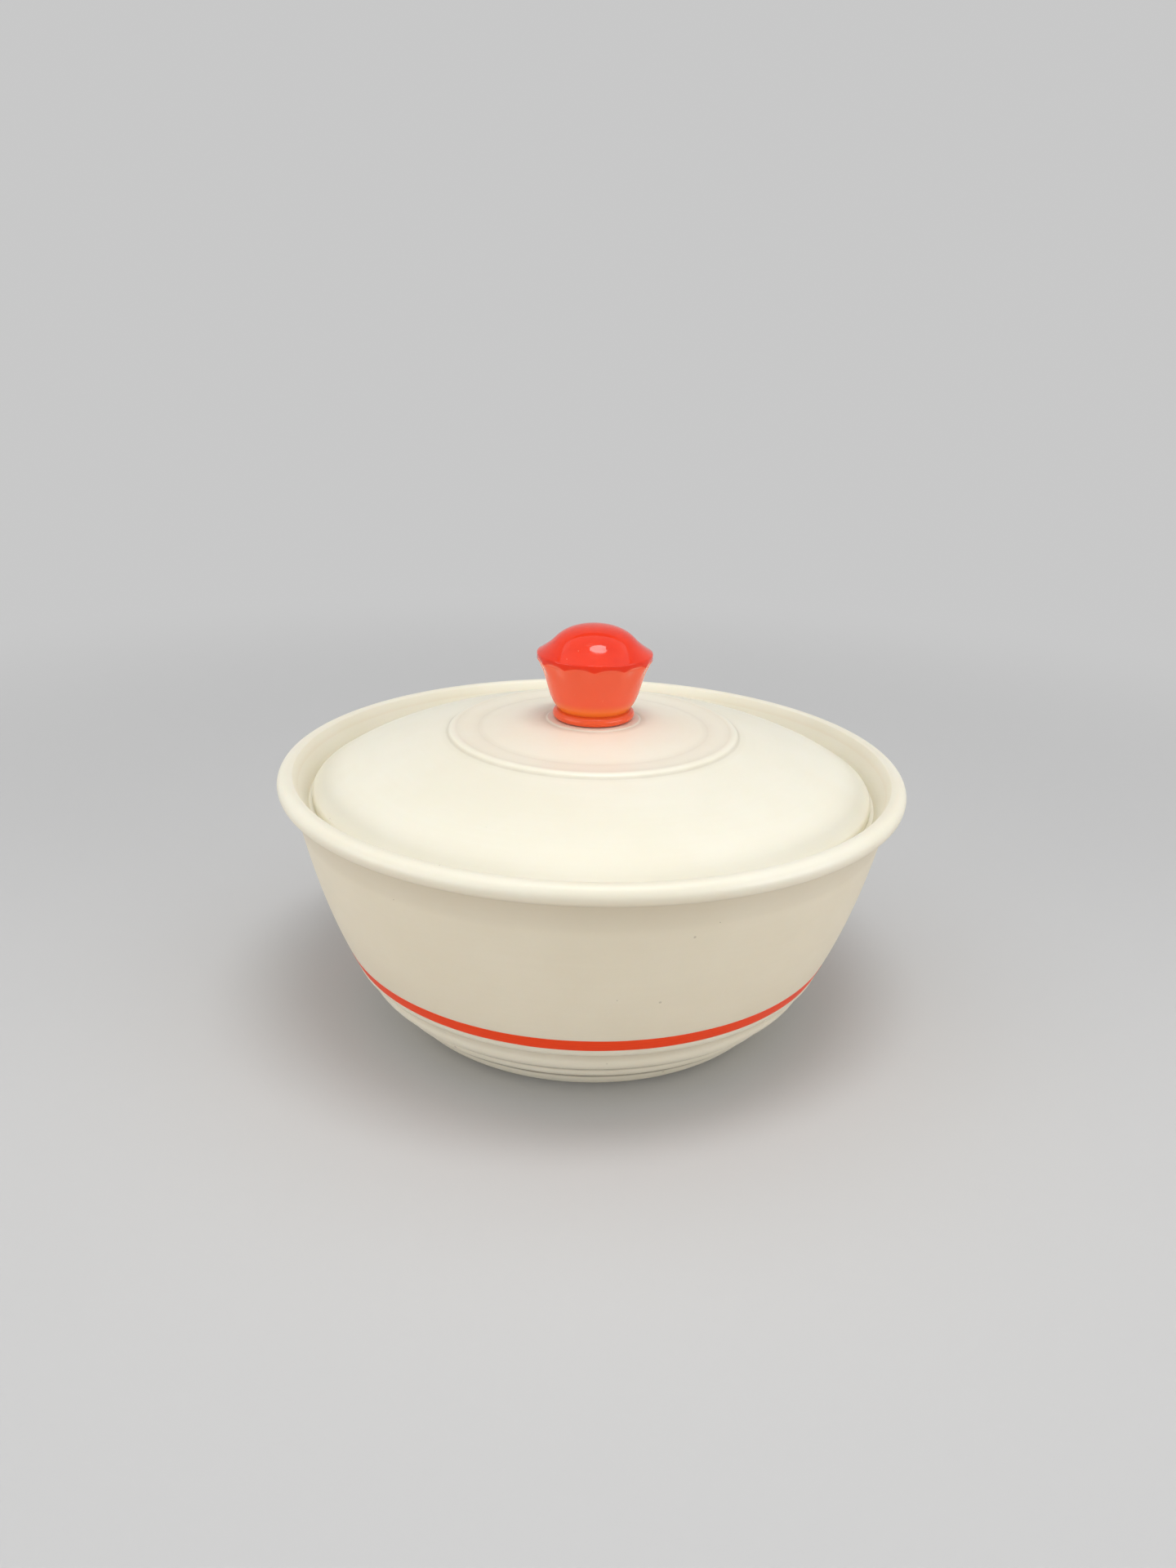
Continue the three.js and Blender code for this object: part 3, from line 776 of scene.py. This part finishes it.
# Heights where a look of the ivory starts and where it is full
ON_SOLE = (0.7, 0.1)
ON_FOOT = (BAND_HEIGHT + 0.3, BAND_HEIGHT - 0.3)
ON_RIM = (wall_top[1] + 0.3, rim_centre[1] + 1.3)
ON_LID = (BOWL_HEIGHT, BOWL_HEIGHT + 2)
FROM_LEDGE_UP = (ledge_height - 1, ledge_height)
FROM_LEDGE_DOWN = FROM_LEDGE_UP[::-1]
LOWEST_GROOVE = (MID_GROOVE_HEIGHT - 1, LOW_GROOVE_HEIGHT + 1)

# Heights where grime and painted shade start, are full, are last full and end: grime in the foot's grooves,
# painted shade under the stripe and up the wall, and both under the rim
IN_FOOT_GROOVES = (
    LOW_GROOVE_HEIGHT - 4,
    LOW_GROOVE_HEIGHT - 3,
    MID_GROOVE_HEIGHT + 1,
    MID_GROOVE_HEIGHT + 3,
)
UNDER_STRIPE = tuple(TOP_GROOVE_HEIGHT + np.array([-1.5, -0.2, 0.2, 1.3]))
UNDER_RIM = tuple(wall_top[1] + np.array([-1.2, -0.4, 0.5, 1.0]))
UP_THE_WALL = tuple(wall_top[1] + np.array([-11, 0, 0.2, 0.8]))

# Radii between the inside and the outside, of the wall under the rim and of the foot under the stripe
OUTER_WALL = tuple(wall_top[0] - np.array([1.7, 1.2]))
OUTER_FOOT = tuple(on_wall(TOP_GROOVE_HEIGHT)[0] - np.array([2.9, 2.1]))

# Shares of grime and of painted shade in the colour
HOLLOW_DIRT_AND_SHADE = 0.1
FOOT_DIRT_AND_SHADE = 0.25
RIM_DIRT_AND_SHADE = 0.4
LID_DIRT_AND_SHADE = 0.3
WALL_SHADE_SHARE = 0.22
STRIPE_SHADE_SHARE = 0.17
SCUFF_DIRT = 0.35
MARK_DIRT = 0.4
CAKED_DIRT = 0.95


def dirt_and_painted_shade(look, patchy):
    """Grime and painted shade in the hollows, more of both at the foot, under the rim and on the lid;
    painted shade that thickens up the wall to the rim; and painted shade in the hollow under the stripe."""
    height = look.height()
    radius = look.radius()
    more = FOOT_DIRT_AND_SHADE * look.ramp(height, *ON_FOOT) + RIM_DIRT_AND_SHADE * look.between(height, *UNDER_RIM)
    more = more + LID_DIRT_AND_SHADE * look.ramp(height, *ON_LID)
    # painted shade: the outer wall darkens more and more towards the rim, under the rim's overhang
    painted_wall_shade = WALL_SHADE_SHARE * look.between(height, *UP_THE_WALL) * look.ramp(radius, *OUTER_WALL)
    # painted shade: a darker film in the soft hollow under the stripe
    painted_stripe_shade = STRIPE_SHADE_SHARE * look.between(height, *UNDER_STRIPE) * look.ramp(radius, *OUTER_FOOT)
    # hollows darkened by grime and painted shade together, more at the foot, under the rim and on the lid
    return look.mark("hollow") * patchy * (HOLLOW_DIRT_AND_SHADE + more) + painted_wall_shade + painted_stripe_shade


def caked_dirt(look, patchy):
    """Grime packed into the bottoms of the foot's grooves, wider and thicker in the lowest one."""
    height = look.height()
    lowest = look.ramp(height, *LOWEST_GROOVE)
    bottoms = look.ramp(look.mark("hollow"), 0.25 - 0.15 * lowest, 0.62 - 0.2 * lowest)
    return look.between(height, *IN_FOOT_GROOVES) * patchy * (0.75 + 0.25 * lowest) * bottoms


def ivory(name, tones):
    """Satin moulded plastic: slow drift between two creams, with painted light that makes rim, recess, foot
    and lid paler, and rubbed pale at the edges; faint turning lines, specks and hairline scratches; dirt
    with painted shade in the hollows, painted shade up the wall and under the stripe, small marks on the
    bowl and scuffs under the foot."""
    look = Finish(name)
    place = look.place()
    height = look.height()
    edge = look.mark("edge")
    drift = look.noise(place, scale=26, detail=4.0, roughness=0.55)
    streak = look.noise(look.round_place(turns=2.2, lines=0.9), scale=1.0, detail=3.0, roughness=0.6)
    grain = look.noise(place, scale=1500, roughness=0.6)
    hairs = look.hairlines(rotation=(0.3, 0.5, 0.9), stretch=(1.0, 14.0, 1.0), scale=160, share=0.35)
    cross_hairs = look.hairlines(rotation=(1.1, 0.2, -0.6), stretch=(14.0, 1.0, 2.0), scale=130, share=0.3)
    scratch = hairs + cross_hairs
    specks = look.specks(scale=120, size=0.16)
    marks = look.specks(scale=90, size=0.42) * look.ramp(height, *FROM_LEDGE_DOWN)
    rubs = look.noise(place, scale=300, detail=4.0, roughness=0.65)
    scuff = look.ramp(height, *ON_SOLE) * look.ramp(rubs, 0.42, 0.62)
    patchy = 0.6 + 0.5 * look.noise(place, scale=210, detail=3.0)
    caked = caked_dirt(look, patchy)
    # painted light: paler creams on rim and lid, in the recess, and half as strong on the foot
    recess = (1 - look.ramp(look.radius(), *OUTER_WALL)) * look.ramp(height, *FROM_LEDGE_UP)
    pale = look.ramp(height, *ON_RIM) + 0.5 * look.ramp(height, *ON_FOOT) + recess
    tone = look.ramp(0.8 * drift + 0.12 * streak + 0.08 * grain, 0.3, 0.7)
    body = look.mix(pale, look.mix(tone, *tones), look.mix(tone, *LIT_TONES))
    body = look.mix(0.2 * edge, body, IVORY_RUBBED)
    # grime and painted shade, with the scuffs and the marks, towards one brown
    body = look.mix(dirt_and_painted_shade(look, patchy) + SCUFF_DIRT * scuff + MARK_DIRT * marks, body, GRIME_AND_SHADE)
    body = look.mix(CAKED_DIRT * caked, body, CAKED_GRIME)
    body = look.mix(0.7 * specks, body, IVORY_SPECK)
    roughness = 0.36 + 0.14 * drift + 0.10 * scratch + 0.2 * caked - 0.08 * edge + 0.15 * scuff
    relief = 0.006 * grain + 0.004 * streak + 0.03 * drift - 0.006 * scratch - 0.01 * specks
    return look.surface(
        {
            "IOR": 1.52,
            "Subsurface Weight": 0.12,
            "Subsurface Radius": (0.003, 0.002, 0.0012),
            "Subsurface Scale": 1.0,
        },
        {"Base Color": body, "Roughness": roughness},
        relief,
    )


STRIPE_RED = (0.96, 0.066, 0.010)
STRIPE_DEEP = (0.90, 0.052, 0.008)
STRIPE_THIN = (0.90, 0.10, 0.02)


def enamel():
    """Brushed red enamel: streaks along the stripe, a thinner, paler skin at its edges and nicks there."""
    look = Finish("red_enamel")
    place = look.place()
    streak = look.noise(look.round_place(turns=9.0, lines=4.0), scale=1.0, detail=3.0, roughness=0.6)
    grain = look.noise(place, scale=1200)
    edge = look.mark("edge")
    chips = look.noise(place, scale=420, detail=3.0, roughness=0.6)
    nicks = look.ramp(chips, 0.72, 0.76) * look.ramp(edge, 0.25, 0.6)
    body = look.mix(look.ramp(streak, 0.35, 0.7), STRIPE_RED, STRIPE_DEEP)
    body = look.mix(0.15 * edge, body, STRIPE_THIN)
    body = look.mix(nicks, body, BOWL_TONES[1])
    roughness = 0.30 + 0.12 * streak + 0.2 * nicks
    relief = 0.004 * grain + 0.012 * streak - 0.03 * nicks
    return look.surface(
        {"IOR": 1.45, "Specular IOR Level": 0.12},
        {"Base Color": body, "Roughness": roughness},
        relief,
    )


KNOB_RED = (0.84, 0.032, 0.002)
KNOB_DEEP = (0.78, 0.026, 0.002)
# below the lip: paler, more orange reds, painted reflection of the bright lid below
KNOB_BODY_LIT = (0.92, 0.108, 0.042)
KNOB_WAIST_LIT = (0.95, 0.215, 0.032)
KNOB_HOLLOW = (0.42, 0.018, 0.006)
KNOB_SPECK = (0.95, 0.45, 0.25)
# collar: paler red, painted reflection of the lid
COLLAR_RED_LIT = (0.92, 0.110, 0.030)
LIP_BAND = 0.3  # how far the lip's deep red comes down, and how much further between the scallops
LIP_CUSP = 0.7
LIP_FADE = (-0.1, 0.2)
AT_WAIST = (WAIST_HEIGHT + 3.5, WAIST_HEIGHT + 0.5)
ON_COLLAR = (WAIST_HEIGHT + 0.3, WAIST_HEIGHT - 0.3)


def below_the_lip(look):
    """1 on the knob's body, 0 on lip and crown: the border hangs below the lip's edge by band + cusp x
    (1 - |sin(count a / 2)|)."""
    across = look.node("ShaderNodeSeparateXYZ", None, {0: look.place()})
    turn = across.math("ARCTAN2", across, 0 - across.other("Y"))
    cusp = 1 - abs(turn.math("SINE", SCALLOP_COUNT / 2 * turn))
    return look.ramp(LIP_HEIGHT - LIP_BAND - LIP_CUSP * cusp - look.height(), *LIP_FADE)


def resin():
    """Polished cast resin: clouded deep red on crown and lip, with the lip's lower border scalloped; below
    it painted reflection of the lid makes collar and body paler and the waist palest; fine specks and
    hairlines."""
    look = Finish("red_resin")
    place = look.place()
    height = look.height()
    below_lip = below_the_lip(look)
    cloud = look.noise(place, scale=130, detail=3.0, roughness=0.6)
    grain = look.noise(place, scale=1600)
    scratch = look.hairlines(rotation=(0.2, 0.9, 0.3), stretch=(1.0, 12.0, 1.0), scale=300, share=0.4)
    body = look.mix(look.ramp(cloud, 0.35, 0.7), KNOB_RED, KNOB_DEEP)
    # painted reflection: the body paler below the lip, palest at the waist, the collar paler too
    body = look.mix(below_lip, body, look.mix(look.ramp(height, *AT_WAIST), KNOB_BODY_LIT, KNOB_WAIST_LIT))
    body = look.mix(look.ramp(height, *ON_COLLAR), body, COLLAR_RED_LIT)
    body = look.mix(0.12 * look.mark("hollow"), body, KNOB_HOLLOW)
    body = look.mix(0.6 * look.specks(scale=330, size=0.12), body, KNOB_SPECK)
    roughness = 0.05 + 0.05 * cloud + 0.10 * scratch + 0.05 * below_lip
    relief = 0.012 * cloud + 0.0015 * grain - 0.003 * scratch
    return look.surface(
        {
            "IOR": 1.47,
            "Specular IOR Level": 0.4,
            "Subsurface Weight": 0.1,
            "Subsurface Radius": (0.004, 0.0008, 0.0003),
            "Subsurface Scale": 1.0,
        },
        {"Base Color": body, "Roughness": roughness},
        relief,
    )


BRASS = (0.76, 0.57, 0.27)
BRASS_TARNISH = (0.36, 0.23, 0.10)
BRASS_HOLLOW = (0.14, 0.09, 0.045)


def brass(name):
    """Plain turned brass: fine tool lines, brown tarnish in clouds and darker hollows."""
    look = Finish(name)
    lines = look.noise(look.round_place(turns=1.5, lines=14.0), scale=1.0)
    tarnish = look.ramp(look.noise(look.place(), scale=420, detail=4.0, roughness=0.6), 0.42, 0.72)
    body = look.mix(0.6 * tarnish, BRASS, BRASS_TARNISH)
    body = look.mix(0.7 * look.mark("hollow"), body, BRASS_HOLLOW)
    roughness = 0.26 + 0.14 * lines + 0.2 * tarnish
    return look.surface({"Metallic": 1.0}, {"Base Color": body, "Roughness": roughness}, 0.012 * lines)


# The pieces on their bodies

def seat(piece, body, node, material):
    """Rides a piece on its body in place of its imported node, with its finish."""
    piece.data.materials.append(material)
    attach(piece, body)
    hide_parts(node)


seat(bowl(), "dish", "bowl", ivory("ivory_bowl", BOWL_TONES))
seat(red_band(), "dish", "red_band", enamel())
# the lid in the lit creams: painted light
seat(lid(), "cover", "lid", ivory("ivory_lid", LIT_TONES))
seat(knob(), "cover", "knob", resin())
seat(screw(), "cover", "knob_screw", brass("screw_brass"))
seat(washer(), "cover", "screw_washer", brass("washer_brass"))


# Stage: a round seamless sweep, lamps and camera

FLOOR_REACH = 600
SWEEP_ROUND = 700
SWEEP_TOP = 1600
SWEEP_STEPS = 40
SWEEP_AROUND = 128
PAPER = (0.62, 0.62, 0.62)
BACKDROP = (0.58, 0.58, 0.58)
BACKDROP_NEAR = 150
BACKDROP_FAR = 520


def stage_finish():
    """Plain pale matt paper that turns into an even tone away from the object, to the eye and in
    reflections."""
    look = Finish("sweep_paper")
    rays = look.node("ShaderNodeLightPath", out="Is Camera Ray")
    seen = rays.math("MAXIMUM", rays, rays.other("Is Glossy Ray"))
    seen = seen.math("MAXIMUM", seen, rays.other("Is Transmission Ray"))
    away = look.vector("LENGTH", {0: look.place()}, out="Value")
    share = look.ramp(away, BACKDROP_NEAR * MM, BACKDROP_FAR * MM) * seen
    paper = look.node("ShaderNodeBsdfDiffuse", None, {"Color": colour(PAPER)})
    even = look.node("ShaderNodeEmission", None, {"Color": colour(BACKDROP)})
    sweep = look.node("ShaderNodeMixShader", None, {0: share, 1: paper, 2: even})
    look.node("ShaderNodeOutputMaterial", None, {"Surface": sweep})
    return look.material


def sweep_stage():
    """Flat round floor that curves up into a wall: a line, a quarter circle and a line, turned."""
    line = chain(
        (0, 0),
        (FLOOR_REACH, 0),
        arc((FLOOR_REACH, SWEEP_ROUND), SWEEP_ROUND, -90, 0, SWEEP_STEPS),
        (FLOOR_REACH + SWEEP_ROUND, SWEEP_TOP),
    )
    angle = np.arange(SWEEP_AROUND) * 2 * np.pi / SWEEP_AROUND
    ring = np.stack([np.sin(angle), -np.cos(angle), np.zeros(SWEEP_AROUND)], -1)
    grid = line[:, None, :1] * ring[None] + line[:, None, 1:] * np.array([0, 0, 1.0])
    index = np.arange(len(line) * SWEEP_AROUND).reshape(len(line), SWEEP_AROUND)
    beside = np.roll(index, -1, axis=1)
    quads = np.stack([index[:-1], index[1:], beside[1:], beside[:-1]], -1)[1:].reshape(-1, 4)
    middle = np.stack([np.full(SWEEP_AROUND, index[0, 0]), index[1], beside[1]], -1)
    floor = put_in_mesh("sweep", grid.reshape(-1, 3), quads, middle, {})
    floor.data.materials.append(stage_finish())


LAMP_AIM = (0.0, 0.0, 0.06)
WORLD_STRENGTH = 0.3


def lamp(name, place, width, depth, radiance, shape="RECTANGLE"):
    """A soft lamp of even radiance, a rectangle or an ellipse: its power is pi x radiance x area."""
    light = bpy.data.lights.new(name, "AREA")
    light.shape = shape
    light.size = width
    light.size_y = depth
    light.energy = np.pi * radiance * width * depth * (np.pi / 4 if shape == "ELLIPSE" else 1)
    holder = bpy.data.objects.new(name, light)
    holder.location = place
    holder.rotation_euler = (Vector(LAMP_AIM) - Vector(place)).to_track_quat("-Z", "Y").to_euler()
    holder.visible_camera = False
    bpy.context.scene.collection.objects.link(holder)


def world_light():
    """Even pale surroundings."""
    world = bpy.data.worlds.new("studio")
    world.use_nodes = True
    background = world.node_tree.nodes["Background"]
    background.inputs["Color"].default_value = (1.0, 1.0, 1.0, 1.0)
    background.inputs["Strength"].default_value = WORLD_STRENGTH
    bpy.context.scene.world = world


LENS = 28.125
SENSOR = 36.0
CAMERA_PLACE = (0.0, -0.28680, 0.16370)
CAMERA_YAW = -0.0031
CAMERA_PITCH = 0.3528
CAMERA_ROLL = 0.0251


def camera():
    """Looks along +Y, turned by yaw, tipped down by pitch, then rolled about its own axis."""
    data = bpy.data.cameras.new("camera")
    data.lens = LENS
    data.sensor_width = SENSOR
    holder = bpy.data.objects.new("camera", data)
    turn = Matrix.Rotation(-CAMERA_YAW, 3, "Z") @ Matrix.Rotation(np.pi / 2 - CAMERA_PITCH, 3, "X")
    turn = turn @ Matrix.Rotation(CAMERA_ROLL, 3, "Z")
    holder.matrix_world = Matrix.Translation(CAMERA_PLACE) @ turn.to_4x4()
    bpy.context.scene.collection.objects.link(holder)
    bpy.context.scene.camera = holder


sweep_stage()
lamp("overhead", (0.05, -0.16, 0.72), width=0.34, depth=0.17, radiance=9.6, shape="ELLIPSE")
lamp("canopy", (0.0, -0.08, 0.80), width=2.0, depth=1.0, radiance=0.78)
lamp("left_window", (-0.75, -0.44, 0.17), width=0.8, depth=0.28, radiance=4.05)
lamp("right_window", (0.75, -0.44, 0.17), width=0.8, depth=0.28, radiance=4.05)
world_light()
camera()
bpy.context.scene.view_settings.view_transform = "Standard"
